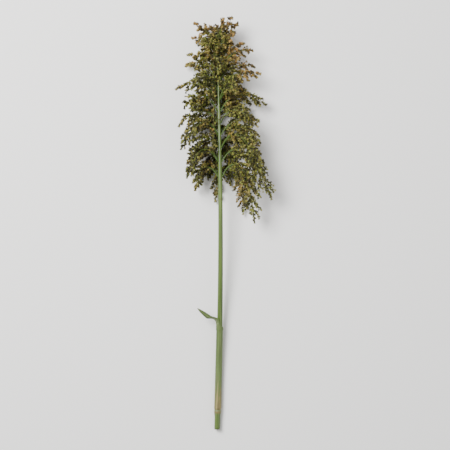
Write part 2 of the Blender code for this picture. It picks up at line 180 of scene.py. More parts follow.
# The head: tiers of branches that leave the rachis, arch over and hang, with branchlets all along them
head = {
    "tiers": (5, 5, 5, 5, 4, 4, 4, 4, 4, 3, 3, 3, 3, 2), "internode": 0.0252, "shrink": 0.94,
    "drift": math.radians(11), "wander": 0.28, "openTiers": 6, "open": math.radians(84), "closing": 0.45,
    "stagger": 0.25, "tipSpray": 0.027, "tipLean": (0.25, 0.12), "top": 0.044, "low": 0.124, "power": 1.2,
    "lengths": (0.84, 1.14), "under": 0.30, "left": 0.45, "leftArch": 0.20,
    "leave": math.radians(26), "leaveChange": math.radians(-4), "leaveWander": math.radians(4),
    "hang": math.radians(175), "hangChange": math.radians(-122),
    "hangWander": (math.radians(-14), math.radians(8)), "hangPower": 1.1, "turnDone": 0.60, "turnWander": 0.1,
    "twist": 0.22, "points": 25, "rootGap": 0.0015,
    "seed": 41, "tierSeed": 100, "againSeed": 10000, "lineSeed": 5000, "tipSeed": 9000,
    # how it lies: the upper side sags, and the underside is pressed up
    "sag": 0.28, "sagFrom": 0.020, "room": 0.0026,
    "drawn": 14, "apart": 0.0022, "coarse": 8, "coarseRoot": 0.0011, "coarseTip": 0.0007, "sample": 0.0006,
    "rootSamples": 6,  # the root touches what it grows from
}

branchlet = {
    "step": 0.0056, "first": 0.10, "share": 0.37, "taper": 0.66, "least": 0.0095, "spread": math.radians(48),
    "droop": 0.85, "points": 9, "golden": math.radians(137.5), "turnWander": 0.4, "spreadWander": (0.75, 1.2),
    "lastSpread": 0.25, "onward": 0.35, "droopWander": (0.5, 1.4), "reachWander": (0.78, 1.15),
}


def layDown(points):
    laid = []
    for side, d, up in points:
        height = stemHeight(d)
        room = height - head["room"]
        if up > 0:
            z = height + up * (1 - head["sag"] * (1 - math.exp(-up / head["sagFrom"])))
        else:
            z = height - room * math.tanh(-up / room)
        laid.append((stemSide(d) + side, d, z))
    return np.array(laid)


def branchAzimuth(tier, index, draw):
    count = head["tiers"][tier]
    wander = draw.uniform(-head["wander"], head["wander"])
    if tier < head["openTiers"]:  # the lowest tiers leave the upper side open
        opening = head["open"] * (1 - head["closing"] * tier / head["openTiers"])
        turned = (index + 0.5 + head["stagger"] * (-1) ** tier) / (count + head["stagger"])
        return math.pi / 2 + opening / 2 + (2 * math.pi - opening) * turned + wander
    return tier * head["drift"] + 2 * math.pi * (index + 0.5 * (tier % 2)) / count + wander


def branchPath(tier, index, attempt):
    draw = random.Random(head["seed"] + head["tierSeed"] * tier + index + head["againSeed"] * attempt)
    along = sum(head["internode"] * head["shrink"] ** k for k in range(tier))
    share = along / stem["rachis"]
    azimuth = branchAzimuth(tier, index, draw)
    length = head["top"] + (head["low"] - head["top"]) * (1 - share) ** head["power"]
    length *= draw.uniform(*head["lengths"]) * (1 - head["under"] * max(0.0, -math.sin(azimuth)))
    left = max(0.0, -math.cos(azimuth)) * (1 - share) ** 2
    length *= 1 - head["left"] * left
    leave = head["leave"] + head["leaveChange"] * share
    leave += draw.uniform(-head["leaveWander"], head["leaveWander"])
    hang = head["hang"] + head["hangChange"] * share ** head["hangPower"]
    hang += draw.uniform(*head["hangWander"])
    turned = head["turnDone"] + (1 - head["turnDone"]) * share
    turned += draw.uniform(-head["turnWander"], head["turnWander"])
    turned += head["leftArch"] * left
    twist = draw.uniform(-head["twist"], head["twist"])
    start = stem["culm"] + along
    out, forward = stemRadius(start) + head["rootGap"], start
    step = length / (head["points"] - 1)
    points = []
    for i in range(head["points"]):
        u = i / (head["points"] - 1)
        side = azimuth + twist * u * u
        points.append((out * math.cos(side), forward, out * math.sin(side)))
        angle = leave + (hang - leave) * smooth((u + 0.5 / head["points"]) / turned)
        out += step * math.sin(angle)
        forward += step * math.cos(angle)
    return np.array(points)


def tipPath():
    start = stemEnd + head["rootGap"] / 3
    forward = np.linspace(start, start + head["tipSpray"], head["points"])
    lean = (forward - start) ** 2 / head["tipSpray"]
    return np.stack((head["tipLean"][0] * lean, forward, head["tipLean"][1] * lean), axis=1)


def pathLength(path):
    return np.linalg.norm(np.diff(path, axis=0), axis=1).sum()


def pointAt(path, share):
    place = share * (len(path) - 1)
    i = min(int(place), len(path) - 2)
    direction = path[i + 1] - path[i]
    return path[i] + (place - i) * direction, direction / np.linalg.norm(direction)


def across(direction):
    first = np.cross(direction, (0.31, 0.17, 0.93))  # a slanted line that no branch runs along
    first /= np.linalg.norm(first)
    return first, np.cross(direction, first)


def branchlets(path, seed):
    # each branchlet: the share of the branch where it starts, and its line
    draw = random.Random(seed)
    length = pathLength(path)
    count = max(4, round(length / branchlet["step"]))
    found = []
    for j in range(count):
        share = min(1.0, branchlet["first"] + (1 - branchlet["first"]) * (j + 1) / count)
        root, direction = pointAt(path, share)
        first, second = across(direction)
        turn = j * branchlet["golden"] + draw.uniform(-branchlet["turnWander"], branchlet["turnWander"])
        spread = branchlet["spread"] * draw.uniform(*branchlet["spreadWander"])
        if j == count - 1:
            spread *= branchlet["lastSpread"]
        outward = math.cos(turn) * first + math.sin(turn) * second
        leaves = math.cos(spread) * direction + math.sin(spread) * outward
        fall = branchlet["droop"] * draw.uniform(*branchlet["droopWander"])
        ends = leaves + branchlet["onward"] * direction - np.array((0, fall, 0))
        ends /= np.linalg.norm(ends)
        reach = max(branchlet["least"], branchlet["share"] * length * (1 - branchlet["taper"] * share))
        reach *= draw.uniform(*branchlet["reachWander"])
        u = np.linspace(0, 1, branchlet["points"])[:, None]
        found.append((share, root + reach * (u * leaves + u * u / 2 * (ends - leaves))))
    return found


def spheresAlong(path):
    # a branch as the spheres that fill it, coarse as its solid is
    pick = np.linspace(0, head["points"] - 1, head["coarse"]).round().astype(int)
    centres, radii = layDown(path[pick]), np.linspace(head["coarseRoot"], head["coarseTip"], head["coarse"])
    at = np.concatenate(([0.0], np.cumsum(np.linalg.norm(np.diff(centres, axis=0), axis=1))))
    steps = np.linspace(0, at[-1], max(2, int(at[-1] / head["sample"]) + 1))
    places = np.stack([np.interp(steps, at, centres[:, k]) for k in range(3)], axis=1)
    return places, np.interp(steps, at, radii)


def leastGap(places, radii, takenPlaces, takenRadii):
    reach = radii.max() + takenRadii.max() + head["apart"]
    near = (takenPlaces > places.min(axis=0) - reach).all(axis=1)
    near &= (takenPlaces < places.max(axis=0) + reach).all(axis=1)
    if not near.any():
        return 2 * head["apart"]
    between = np.linalg.norm(places[:, None] - takenPlaces[near][None], axis=2)
    return float((between - radii[:, None] - takenRadii[near][None]).min())


def growHead():
    # every branch's name, line and seed; a line that comes too near another is drawn again
    steps = np.arange(0, stemEnd, head["sample"])
    takenPlaces = np.array([stemPoint(d) for d in steps])
    takenRadii = np.array([stemRadius(d) for d in steps])
    grown = []
    for tier, count in enumerate(head["tiers"]):
        for index in range(count):
            drawn = []
            for attempt in range(head["drawn"]):
                path = branchPath(tier, index, attempt)
                places, radii = spheresAlong(path)
                beyond = slice(head["rootSamples"], None)
                gap = leastGap(places[beyond], radii[beyond], takenPlaces, takenRadii)
                drawn.append((gap, path, places, radii))
                if gap > head["apart"]:
                    break
            gap, path, places, radii = max(drawn, key=lambda one: one[0])
            takenPlaces = np.concatenate((takenPlaces, places))
            takenRadii = np.concatenate((takenRadii, radii))
            seed = head["seed"] + head["lineSeed"] + head["tierSeed"] * tier + index
            grown.append((f"spray_{tier + 1:02d}_{index + 1}", path, seed))
    grown.append(("spray_tip", tipPath(), head["seed"] + head["tipSeed"]))
    return grown


# Spikelets: pairs and triplets of a plump seed-bearing one with slender sterile ones
spikelet = {
    "length": 0.0049, "radii": ((0.10, 0.0008), (0.42, 0.0015), (0.78, 0.00095)), "flat": 0.78, "lip": 1.16,
    "sterileLength": 0.0052, "sterileRadii": ((0.30, 0.00012), (0.62, 0.00052), (0.82, 0.0004)),
    "glumeRadii": ((0.14, 0.0006), (0.45, 0.0014), (0.8, 0.0008)),
    "glumeOpen": 0.42, "glumeFlat": 0.34, "glumeLip": 1.1,
    "grainBase": 0.0008, "grainLength": 0.0031,
    "grainRadii": ((0.22, 0.00105), (0.55, 0.0014), (0.86, 0.0008)),
    "patch": 22.0,  # per metre, so patches that ripen together are about 45 mm across
    "speckle": 900.0,  # per metre, so the glumes' speckle is about 1 mm
    "olive": ((0.12, "#070501"), (0.32, "#151303"), (0.55, "#303b0b"), (0.92, "#7f8a36")),
    "tan": ((0.12, "#0a0401"), (0.32, "#1d0f03"), (0.55, "#4c2d0d"), (0.92, "#a07232")),
    "margins": ("#92964c", "#b8955a"), "spots": "#8a8060",
    "toneFrom": (0.85, 0.25),  # the share of a husk's tone from its own shade, and from the patch it is in
    "ripeFrom": (1.6, 0.9, 1.4),  # how much the patch ripens it, and where tan begins and is full
    "gloss": 0.3, "rough": (0.3, 0.62),
    "chaffFrom": (0.4, 0.8),  # how much of the patch the chaff's own shade gets, and the share of both used
    "straw": ((0.10, "#2a2809"), (0.45, "#6f6c2a"), (0.75, "#9c9148"), (1.00, "#c4a867")),
    "grain": ((0.10, "#100704"), (0.60, "#26110a"), (1.00, "#4a2212")),
}


def makeHusk():
    # leathery ripening glumes, a little polished: near-black hollows, olive to tan backs, pale papery margins
    material, tree, surface = newMaterial("ripeGlume")
    place = addNode(tree, "ShaderNodeTexCoord").outputs["Object"]
    # shade: the spikelet's random tone, lowered by the painted shade on the left lobe
    shade = addNode(tree, "ShaderNodeAttribute", attribute_name="shade").outputs["Fac"]
    warm = addNode(tree, "ShaderNodeAttribute", attribute_name="warm").outputs["Fac"]
    rim = addNode(tree, "ShaderNodeAttribute", attribute_name="rim").outputs["Fac"]
    patch = addNode(tree, "ShaderNodeTexNoise", {"Vector": place, "Scale": spikelet["patch"], "Detail": 2.0})
    speckle = addNode(tree, "ShaderNodeTexNoise",
                      {"Vector": place, "Scale": spikelet["speckle"], "Detail": 4.0})
    ownShare, patchShare = spikelet["toneFrom"]
    lift = addNode(tree, "ShaderNodeMath", {0: patch, 1: patchShare}, operation="MULTIPLY")
    tone = addNode(tree, "ShaderNodeMath", {0: shade, 1: ownShare, 2: lift}, operation="MULTIPLY_ADD")
    olive = addNode(tree, "ShaderNodeValToRGB", {0: tone}, spikelet["olive"])
    tan = addNode(tree, "ShaderNodeValToRGB", {0: tone}, spikelet["tan"])
    patchRipens, begins, full = spikelet["ripeFrom"]
    ripe = addNode(tree, "ShaderNodeMath", {0: patch, 1: patchRipens, 2: warm}, operation="MULTIPLY_ADD")
    ripe = addNode(tree, "ShaderNodeMapRange", {"Value": ripe, "From Min": begins, "From Max": full})
    back = addNode(tree, "ShaderNodeMix", {0: ripe, 6: olive, 7: tan}, data_type="RGBA").outputs[2]
    green, dry = [linear(code) for code in spikelet["margins"]]
    margin = addNode(tree, "ShaderNodeMix", {0: ripe, 6: green, 7: dry}, data_type="RGBA").outputs[2]
    pale = addNode(tree, "ShaderNodeMapRange",
                   {"Value": tone, "From Min": 0.1, "From Max": 0.75, "To Min": 0.2})
    pale = addNode(tree, "ShaderNodeMath", {0: pale, 1: rim}, operation="MULTIPLY")
    glume = addNode(tree, "ShaderNodeMix", {0: pale, 6: back, 7: margin}, data_type="RGBA").outputs[2]
    spots = addNode(tree, "ShaderNodeValToRGB", {0: speckle}, ((0.3, spikelet["spots"]), (0.65, "#ffffff")))
    colour = addNode(tree, "ShaderNodeMix", {0: 0.5, 6: glume, 7: spots},
                     data_type="RGBA", blend_type="MULTIPLY")
    tree.links.new(colour.outputs[2], surface.inputs["Base Color"])
    smoothest, roughest = spikelet["rough"]
    polish = addNode(tree, "ShaderNodeMapRange", {"Value": speckle, "To Min": smoothest, "To Max": roughest})
    tree.links.new(polish.outputs[0], surface.inputs["Roughness"])
    surface.inputs["Specular IOR Level"].default_value = spikelet["gloss"]
    bump = addNode(tree, "ShaderNodeBump", {"Height": speckle, "Strength": 0.35, "Distance": 0.0002})
    tree.links.new(bump.outputs[0], surface.inputs["Normal"])
    return material


def makeStraw():
    # thin dry chaff of the sterile spikelets: matt, straw to olive
    material, tree, surface = newMaterial("dryChaff", 0.6)
    place = addNode(tree, "ShaderNodeTexCoord").outputs["Object"]
    # shade: the spikelet's random tone, lowered by the painted shade on the left lobe
    shade = addNode(tree, "ShaderNodeAttribute", attribute_name="shade").outputs["Fac"]
    patch = addNode(tree, "ShaderNodeTexNoise", {"Vector": place, "Scale": spikelet["patch"], "Detail": 2.0})
    patchShare, light = spikelet["chaffFrom"]
    tone = addNode(tree, "ShaderNodeMath", {0: patch, 1: patchShare, 2: shade}, operation="MULTIPLY_ADD")
    tone = addNode(tree, "ShaderNodeMath", {0: tone, 1: light}, operation="MULTIPLY")
    straw = addNode(tree, "ShaderNodeValToRGB", {0: tone}, spikelet["straw"])
    tree.links.new(straw.outputs[0], surface.inputs["Base Color"])
    return material


def makeGrain():
    # the hard seed between open glumes: dark, glassy
    material, tree, surface = newMaterial("darkSeed", 0.24)
    # shade: the spikelet's random tone, lowered by the painted shade on the left lobe
    shade = addNode(tree, "ShaderNodeAttribute", attribute_name="shade").outputs["Fac"]
    seed = addNode(tree, "ShaderNodeValToRGB", {0: shade}, spikelet["grain"])
    tree.links.new(seed.outputs[0], surface.inputs["Base Color"])
    surface.inputs["Coat Weight"].default_value = 0.35
    surface.inputs["Coat Roughness"].default_value = 0.15
    return material


def spindle(base, aim, length, radii, sides=6, flat=1.0, lip=1.0):
    # a closed pointed body; the two seams where its halves meet carry rim 1 and stand out by lip
    base, aim = np.array(base, float), np.array(aim, float)
    aim /= np.linalg.norm(aim)
    first, second = across(aim)
    points, rims, faces = [base], [0.0], []
    for share, radius in radii:
        for k in range(sides):
            seam = sides > 3 and k % (sides // 2) == 0
            angle = 2 * math.pi * k / sides
            spoke = math.cos(angle) * first + flat * math.sin(angle) * second
            points.append(base + aim * length * share + radius * (lip if seam else 1.0) * spoke)
            rims.append(1.0 if seam else 0.0)
    points.append(base + aim * length)
    rims.append(1.0)
    last = 1 + (len(radii) - 1) * sides
    for k in range(sides):
        after = (k + 1) % sides
        faces.append((0, 1 + after, 1 + k))
        for start in range(1, last, sides):
            faces.append((start + k, start + after, start + after + sides, start + k + sides))
        faces.append((last + k, last + after, len(points) - 1))
    return points, rims, faces


def seedBearing(aim, size=1.0):
    length = spikelet["length"] * size
    return spindle((0, 0, 0), aim, length, spikelet["radii"], 6, spikelet["flat"], spikelet["lip"])


def sterile(aim):
    return spindle((0, 0, 0), aim, spikelet["sterileLength"], spikelet["sterileRadii"], 3)


def openGlume(side):
    aim = (0, side * spikelet["glumeOpen"], 1)
    radii, flat, lip = spikelet["glumeRadii"], spikelet["glumeFlat"], spikelet["glumeLip"]
    return spindle((0, 0, 0), aim, spikelet["length"], radii, 4, flat, lip)


def bareGrain():
    return spindle((0, 0, spikelet["grainBase"]), (0, 0, 1), spikelet["grainLength"], spikelet["grainRadii"])


def makeSpikelets(materials):
    # the four kinds that the sprays repeat, each with its parts and the number of their material
    kinds = {
        "spikelet0Pair": ((seedBearing((0.05, 0, 1)), 0), (sterile((-0.42, 0.2, 1)), 1)),
        "spikelet1Pair": ((seedBearing((-0.1, 0.05, 1), 0.9), 0), (sterile((0.5, -0.1, 1)), 1)),
        "spikelet2Triplet": ((seedBearing((0, 0.06, 1)), 0), (sterile((0.5, 0.1, 1)), 1),
                             (sterile((-0.45, -0.25, 1)), 1)),
        "spikelet3Open": ((bareGrain(), 2), (openGlume(1), 0), (openGlume(-1), 0),
                          (sterile((0.55, 0.05, 1)), 1)),
    }
    holder = bpy.data.collections.new("spikelets")
    for name, parts in kinds.items():
        points, faces, rims, slots = [], [], [], []
        for (some, someRims, someFaces), slot in parts:
            faces += [tuple(len(points) + k for k in face) for face in someFaces]
            points += some
            rims += someRims
            slots += [slot] * len(someFaces)
        found = newObject(name, points, faces, materials, slots, {"rim": rims})
        bpy.context.scene.collection.objects.unlink(found)
        holder.objects.link(found)
    return holder


# Sprays: each branch of the head with its branchlets and spikelets
spray = {
    "root": 0.00115, "tip": 0.00045, "twigRoot": 0.00042, "twigTip": 0.00022, "sides": 4,
    "rootLength": 0.0035, "rootInward": 0.45, "far": 0.8, "twigFar": (0.5, 0.3),
    "step": 0.0032, "bare": 0.10, "firstPlace": 0.6, "aroundWander": 0.5, "big": (0.80, 1.14), "seed": 9,
    "tilt": math.radians(38), "tiltWander": (0.7, 1.3), "lastTilt": 0.1,
    "spin": 6.283,  # radians about its own aim, so any side of a spikelet may show
    "kinds": (0, 0, 0, 1, 1, 1, 3), "lastKind": 2,  # one spikelet in seven stands open
    # sets of branchlets that the solids have no room for, with one more where a branch is under each length
    "more": 2, "moreUnder": (0.085, 0.062, 0.062, 0.055), "setSeed": 40000,
    # how much further those on short branches reach, to close the top of the head
    "fill": 0.5, "fillUnder": 0.062,
    "tones": (0.10, 0.42, 0.92), "toneShares": (0.38, 0.32, 0.30), "toneWander": 0.09,
    # painted shade on the left lobe: how much it darkens, how far left of the middle it is full, and how far
    # below the tip it begins
    "paintedShadeDepth": 0.13, "paintedShadeWide": 0.025, "paintedShadeFrom": 0.09, "lowest": 0.0002,
    "warm": 0.13, "warmTip": 0.86, "warmTipLength": 0.048, "warmWander": 0.18,
    "warmRight": 0.62, "warmRightWide": 0.03, "warmRightLength": 0.13,
    "stalk": ((0.10, "#3c591b"), (0.45, "#4f6220"), (0.75, "#666427"), (1.00, "#664820")),
    "stalkFrom": (0.75, 0.35),  # the share of a stalk's tone from how far out it is, and from chance
    "uneven": 60.0,  # per metre, so the stalks change tone over about 17 mm
}


def makeStalk():
    # thin grass stalks: fresh green at the rachis, drying to olive and tan outwards
    material, tree, surface = newMaterial("grassStalk", 0.5)
    place = addNode(tree, "ShaderNodeTexCoord").outputs["Object"]
    far = addNode(tree, "ShaderNodeAttribute", attribute_name="far").outputs["Fac"]
    uneven = addNode(tree, "ShaderNodeTexNoise", {"Vector": place, "Scale": spray["uneven"], "Detail": 3.0})
    farShare, chance = spray["stalkFrom"]
    uneven = addNode(tree, "ShaderNodeMath", {0: uneven, 1: chance}, operation="MULTIPLY")
    tone = addNode(tree, "ShaderNodeMath", {0: far, 1: farShare, 2: uneven}, operation="MULTIPLY_ADD")
    green = addNode(tree, "ShaderNodeValToRGB", {0: tone}, spray["stalk"])
    tree.links.new(green.outputs[0], surface.inputs["Base Color"])
    return material


def makeSprayTree():
    # lines with a girth become stalks, and loose points become spikelets of the kind they name
    tree = bpy.data.node_groups.new("sprayTree", "GeometryNodeTree")
    for label, kind, way in (
        ("Geometry", "NodeSocketGeometry", "INPUT"), ("Stalk sides", "NodeSocketInt", "INPUT"),
        ("Stalk material", "NodeSocketMaterial", "INPUT"), ("Spikelets", "NodeSocketCollection", "INPUT"),
        ("Geometry", "NodeSocketGeometry", "OUTPUT"),
    ):
        tree.interface.new_socket(name=label, in_out=way, socket_type=kind)
    given = addNode(tree, "NodeGroupInput").outputs
    own = {}
    for label, kind in (("loose", "BOOLEAN"), ("girth", "FLOAT"), ("kind", "INT"), ("turn", "FLOAT_VECTOR"),
                        ("big", "FLOAT"), ("stalk", "BOOLEAN")):
        own[label] = addNode(tree, "GeometryNodeInputNamedAttribute", {"Name": label}, data_type=kind)
    split = addNode(tree, "GeometryNodeSeparateGeometry",
                    {"Geometry": given["Geometry"], "Selection": own["loose"]}, domain="POINT")
    curve = addNode(tree, "GeometryNodeMeshToCurve", {0: split.outputs[1]})
    ring = addNode(tree, "GeometryNodeCurvePrimitiveCircle",
                   {"Resolution": given["Stalk sides"], "Radius": 1.0})
    tubes = addNode(tree, "GeometryNodeCurveToMesh",
                    {"Curve": curve, "Profile Curve": ring, "Scale": own["girth"], "Fill Caps": True})
    tubes = addNode(tree, "GeometryNodeStoreNamedAttribute",
                    {"Geometry": tubes, "Name": "stalk", "Value": True}, data_type="BOOLEAN", domain="FACE")
    spots = addNode(tree, "GeometryNodeMeshToPoints", {0: split.outputs[0]})
    shapes = addNode(tree, "GeometryNodeCollectionInfo",
                     {"Collection": given["Spikelets"], "Separate Children": True, "Reset Children": True})
    placed = addNode(tree, "GeometryNodeInstanceOnPoints",
                     {"Points": spots, "Instance": shapes, "Pick Instance": True,
                      "Instance Index": own["kind"], "Rotation": own["turn"], "Scale": own["big"]})
    both = addNode(tree, "GeometryNodeJoinGeometry", {0: tubes})
    tree.links.new(placed.outputs[0], both.inputs[0])
    solid = addNode(tree, "GeometryNodeRealizeInstances", {0: both})
    solid = addNode(tree, "GeometryNodeSetMaterial",
                    {"Geometry": solid, "Selection": own["stalk"], "Material": given["Stalk material"]})
    addNode(tree, "NodeGroupOutput", {0: solid})
    return tree


sprayFields = (("loose", "BOOLEAN"), ("girth", "FLOAT"), ("far", "FLOAT"), ("kind", "INT"), ("big", "FLOAT"),
               ("shade", "FLOAT"), ("warm", "FLOAT"), ("turn", "FLOAT_VECTOR"))


def ripeness(place, draw):
    # the tip of the head has dried most, and then the right side of its upper part
    below = cadHigh[1] - place[1]
    tipward = smooth(1 - below / spray["warmTipLength"])
    right = smooth(place[0] / spray["warmRightWide"]) * smooth(2 - 2 * below / spray["warmRightLength"])
    return (spray["warm"] + spray["warmTip"] * tipward + spray["warmRight"] * right
            + draw.uniform(-spray["warmWander"], spray["warmWander"]))


def paintedShade(place):
    # painted shade: the head's left lobe, below its upper part, is darkened as if it lay in shade
    below = cadHigh[1] - place[1]
    return spray["paintedShadeDepth"] * smooth(-place[0] / spray["paintedShadeWide"]) * smooth(below / spray["paintedShadeFrom"] - 1)


def sprayPoints(name, path, seed):
    draw = random.Random(f"{spray['seed']}{name}")
    places, edges, rows = [], [], []

    def addLine(line, girths, fars):
        for k, place in enumerate(line):
            t = k / (len(line) - 1)
            if k:
                edges.append((len(places) - 1, len(places)))
            places.append(place)
            rows.append((False, girths[0] + (girths[1] - girths[0]) * t, fars[0] + (fars[1] - fars[0]) * t,
                         0, 1.0, 0.5, 0.0, (0.0, 0.0, 0.0)))

    def addSpikelet(place, aim, kind):
        spin = Matrix.Rotation(draw.uniform(0, spray["spin"]), 3, "Z")
        turned = Vector(aim).to_track_quat("Z", "Y").to_matrix() @ spin
        # a spikelet's shade is its own random tone, less the painted shade of the left lobe
        tone = draw.choices(spray["tones"], spray["toneShares"])[0]
        tone += draw.uniform(-spray["toneWander"], spray["toneWander"]) - paintedShade(place)
        places.append(place)
        rows.append((True, 0.0, 1.0, kind, draw.uniform(*spray["big"]), tone, ripeness(place, draw),
                     tuple(turned.to_euler())))

    laid = layDown(path) + shift
    inward = laid[0] - (laid[1] - laid[0]) / np.linalg.norm(laid[1] - laid[0]) * spray["rootLength"]
    inward += (stemPoint(path[0][1]) + shift - inward) * spray["rootInward"]
    # its root reaches into the rachis
    addLine([inward, *laid], (spray["root"], spray["tip"]), (0.0, spray["far"]))
    length = pathLength(path)
    sets = 1 + spray["more"] + sum(length < limit for limit in spray["moreUnder"])
    fill = spray["fill"] if length < spray["fillUnder"] else 0.0
    lines = branchlets(path, seed)
    for k in range(1, sets):
        for share, line in branchlets(path, seed + spray["setSeed"] * k):
            lines.append((share, line[0] + (line - line[0]) * (1 + fill * (1 - share))))
    for share, line in lines:
        twig = layDown(line) + shift
        twig += pointAt(laid, share)[0] - twig[0]
        begin = spray["twigFar"][0] + spray["twigFar"][1] * share
        addLine(twig[::2], (spray["twigRoot"], spray["twigTip"]), (begin, 1.0))
        count = max(2, round(pathLength(twig) * (1 - spray["bare"]) / spray["step"]))
        phase = draw.uniform(0, 2 * math.pi)
        for k in range(count):
            last = k == count - 1
            along = spray["bare"] + (1 - spray["bare"]) * (k + spray["firstPlace"]) / count
            place, direction = pointAt(twig, min(1.0, along))
            first, second = across(direction)
            around = phase + math.pi * k + draw.uniform(-spray["aroundWander"], spray["aroundWander"])
            tilt = spray["lastTilt"] if last else spray["tilt"] * draw.uniform(*spray["tiltWander"])
            outward = math.cos(around) * first + math.sin(around) * second
            kind = spray["lastKind"] if last else draw.choice(spray["kinds"])
            addSpikelet(place, math.cos(tilt) * direction + math.sin(tilt) * outward, kind)
    return places, edges, rows


def makeSpray(name, path, seed, tree, spikelets, stalk):
    places, edges, rows = sprayPoints(name, path, seed)
    mesh = bpy.data.meshes.new(name + "Lines")
    mesh.from_pydata([tuple(p) for p in places], edges, [])
    for (label, kind), numbers in zip(sprayFields, zip(*rows)):
        field = mesh.attributes.new(label, kind, "POINT").data
        if kind == "FLOAT_VECTOR":
            field.foreach_set("vector", np.array(numbers).ravel())
        else:
            field.foreach_set("value", numbers)
    piece = bpy.data.objects.new(name + "_fine", mesh)
    bpy.context.scene.collection.objects.link(piece)
    work = piece.modifiers.new("grow", "NODES")
    work.node_group = tree
    for item in tree.interface.items_tree:
        given = {"Stalk sides": spray["sides"], "Stalk material": stalk, "Spikelets": spikelets}
        if item.in_out == "INPUT" and item.name in given:
            work[item.identifier] = given[item.name]
    grown = bpy.data.meshes.new_from_object(piece.evaluated_get(bpy.context.evaluated_depsgraph_get()))
    piece.modifiers.clear()
    piece.data = grown
    bpy.data.meshes.remove(mesh)
    points = np.empty(len(grown.vertices) * 3, np.float32)
    grown.vertices.foreach_get("co", points)
    # what would reach into the surface lies flat on it
    points[2::3] = np.maximum(points[2::3], spray["lowest"])
    grown.vertices.foreach_set("co", points)
    for label in ("girth", "loose", "kind", "turn", "big", "stalk"):
        if label in grown.attributes:
            grown.attributes.remove(grown.attributes[label])
    grown.shade_smooth()
    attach(piece, "root")
    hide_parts(name)
    return sum(row[0] for row in rows), sum(len(face.vertices) - 2 for face in grown.polygons)


spikelets = makeSpikelets([makeHusk(), makeStraw(), makeGrain()])
grownHead = growHead()
print("head grown:", len(grownHead), "branches")
sprayTree, stalk = makeSprayTree(), makeStalk()
counts = [makeSpray(name, path, seed, sprayTree, spikelets, stalk) for name, path, seed in grownHead]
print("sprays made:", sum(one[0] for one in counts), "spikelets,", sum(one[1] for one in counts), "triangles")
for found in list(spikelets.objects):
    bpy.data.objects.remove(found)
bpy.data.collections.remove(spikelets)
bpy.data.node_groups.remove(sprayTree)

# The stem's own surface
rind = {
    "ribs": (1500.0, 9.0, 1500.0),  # per metre, so the ribs are about 0.7 mm apart and 110 mm long
    "streaks": (380.0, 8.0, 380.0),  # streaks about 2.6 mm wide and 125 mm long
    "freckles": 170.0,  # about 6 mm across
    "green": ((0.25, "#26380f"), (0.42, "#3a501b"), (0.58, "#4d6325"), (0.78, "#71843c")),
    "pale": "#96a765", "wax": "#9fac7a", "band": "#6f6236", "brown": "#4e3219",
    "bloom": 0.5, "rough": 0.34, "waxRough": 0.3,
    "strands": 1500.0,  # per metre, so the strands in the pith are about 0.7 mm apart
    "pith": ((0.0, "#6f6638"), (0.3, "#b9b07c"), (1.0, "#d2cba2")), "cutRind": "#5f7034",
}


def makeRind():
    # a grass stem's waxed rind: satin green with fine pale ribs and streaks, a bloom of wax above the joint
    material, tree, surface = newMaterial("grassRind")
    place = addNode(tree, "ShaderNodeTexCoord").outputs["Object"]
    wax = addNode(tree, "ShaderNodeAttribute", attribute_name="wax").outputs["Fac"]
    band = addNode(tree, "ShaderNodeAttribute", attribute_name="band").outputs["Fac"]
    unbent = addNode(tree, "ShaderNodeAttribute", attribute_name="unbent").outputs["Vector"]
    ribs = addNode(tree, "ShaderNodeMapping", {"Vector": unbent, "Scale": rind["ribs"]})
    ribs = addNode(tree, "ShaderNodeTexNoise", {"Vector": ribs, "Scale": 1.0, "Detail": 2.0})
    streaks = addNode(tree, "ShaderNodeMapping", {"Vector": unbent, "Scale": rind["streaks"]})
    streaks = addNode(tree, "ShaderNodeTexNoise", {"Vector": streaks, "Scale": 1.0, "Detail": 3.0})
    green = addNode(tree, "ShaderNodeValToRGB", {0: streaks}, rind["green"])
    pale = addNode(tree, "ShaderNodeMapRange",
                   {"Value": ribs, "From Min": 0.45, "From Max": 0.8, "To Max": 0.7})
    bloom = addNode(tree, "ShaderNodeMath", {0: wax, 1: rind["bloom"]}, operation="MULTIPLY")
    freckle = addNode(tree, "ShaderNodeTexNoise", {"Vector": place, "Scale": rind["freckles"], "Detail": 3.0})
    brown = addNode(tree, "ShaderNodeMapRange",
                    {"Value": freckle, "From Min": 0.64, "From Max": 0.74, "To Max": 0.6})
    colour = green.outputs[0]
    for share, label in ((pale, "pale"), (bloom, "wax"), (band, "band"), (brown, "brown")):
        colour = addNode(tree, "ShaderNodeMix", {0: share, 6: colour, 7: linear(rind[label])},
                         data_type="RGBA").outputs[2]
    tree.links.new(colour, surface.inputs["Base Color"])
    rough = addNode(tree, "ShaderNodeMath", {0: wax, 1: rind["waxRough"], 2: rind["rough"]},
                    operation="MULTIPLY_ADD")
    tree.links.new(rough.outputs[0], surface.inputs["Roughness"])
    bump = addNode(tree, "ShaderNodeBump", {"Height": ribs, "Strength": 0.45, "Distance": 0.00012})
    tree.links.new(bump.outputs[0], surface.inputs["Normal"])
    return material


def makePith():
    # the sawn end: matt spongy cream pith with darker strands, inside a ring of green rind
    material, tree, surface = newMaterial("cutPith", 0.8)
    place = addNode(tree, "ShaderNodeTexCoord").outputs["Object"]
    rim = addNode(tree, "ShaderNodeAttribute", attribute_name="rim").outputs["Fac"]
    strands = addNode(tree, "ShaderNodeTexVoronoi", {"Vector": place, "Scale": rind["strands"]})
    dots = addNode(tree, "ShaderNodeValToRGB", {0: strands}, rind["pith"])
    colour = addNode(tree, "ShaderNodeMix", {0: rim, 6: dots, 7: linear(rind["cutRind"])},
                     data_type="RGBA").outputs[2]
    tree.links.new(colour, surface.inputs["Base Color"])
    return material


